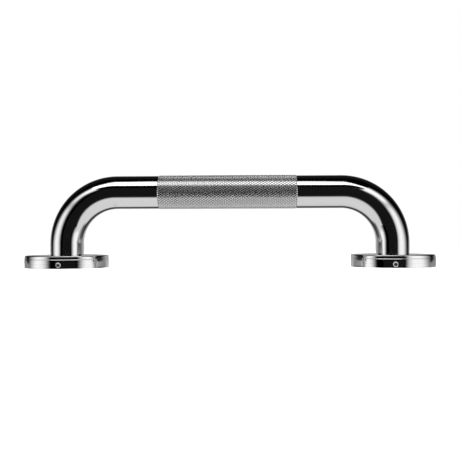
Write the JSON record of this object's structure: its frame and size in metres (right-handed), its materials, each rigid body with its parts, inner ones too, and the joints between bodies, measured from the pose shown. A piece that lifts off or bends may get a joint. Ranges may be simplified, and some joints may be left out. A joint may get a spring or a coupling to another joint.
{
  "type": "grab rail",
  "caption": "Straight wall-mounted grab rail: bent polished steel tube with a diamond-knurled grip, round base flanges hidden under loose turned covers locked by grub screws.",
  "frame": {"origin": "on the wall plane, midway between the two legs", "axes": "+X along the grip towards the right leg, +Z out of the wall, +Y up the wall when the rail is fixed level; the grub screws face -Y"},
  "size_m": [0.399, 0.081, 0.0894],
  "materials": {
    "polished_tube": "polished stainless steel with a faint lengthwise grain and a bright diamond knurl",
    "flange_steel": "dull machined stainless plate",
    "weld_steel": "brushed weld bead",
    "cover_steel": "polished turned stainless steel with fine turning lines",
    "grub_steel": "plain stainless steel",
    "seal_rubber": "matte black rubber",
    "gasket_rubber": "matte dark grey rubber"
  },
  "bodies": {
    "rail": {"rail_tube": "polished_tube", "base_flange_left": "flange_steel", "base_flange_right": "flange_steel", "weld_bead_left": "weld_steel", "weld_bead_right": "weld_steel", "wall_gasket_left": "gasket_rubber", "wall_gasket_right": "gasket_rubber"},
    "left_seal": {"cover_seal_left": "seal_rubber"},
    "left_cover": {"cover_left": "cover_steel"},
    "left_grub": {"grub_screw_left": "grub_steel"},
    "right_seal": {"cover_seal_right": "seal_rubber"},
    "right_cover": {"cover_right": "cover_steel"},
    "right_grub": {"grub_screw_right": "grub_steel"}
  },
  "joints": [
    {"name": "left_cover_lift", "type": "slide", "parent": "rail", "child": "left_seal", "axis": [0, 0, 1], "range_m": [0, 0.0105]},
    {"name": "left_cover_turn", "type": "hinge", "parent": "left_seal", "child": "left_cover", "pos_m": [-0.159, 0, 0.0104], "axis": [0, 0, 1], "continuous": true},
    {"name": "left_grub_screw", "type": "slide", "parent": "left_cover", "child": "left_grub", "axis": [0.0523, -0.9986, 0], "range_m": [0, 0.0021]},
    {"name": "right_cover_lift", "type": "slide", "parent": "rail", "child": "right_seal", "axis": [0, 0, 1], "range_m": [0, 0.0105]},
    {"name": "right_cover_turn", "type": "hinge", "parent": "right_seal", "child": "right_cover", "pos_m": [0.159, 0, 0.0104], "axis": [0, 0, 1], "continuous": true},
    {"name": "right_grub_screw", "type": "slide", "parent": "right_cover", "child": "right_grub", "axis": [-0.1564, -0.9877, 0], "range_m": [0, 0.0021]}
  ]
}
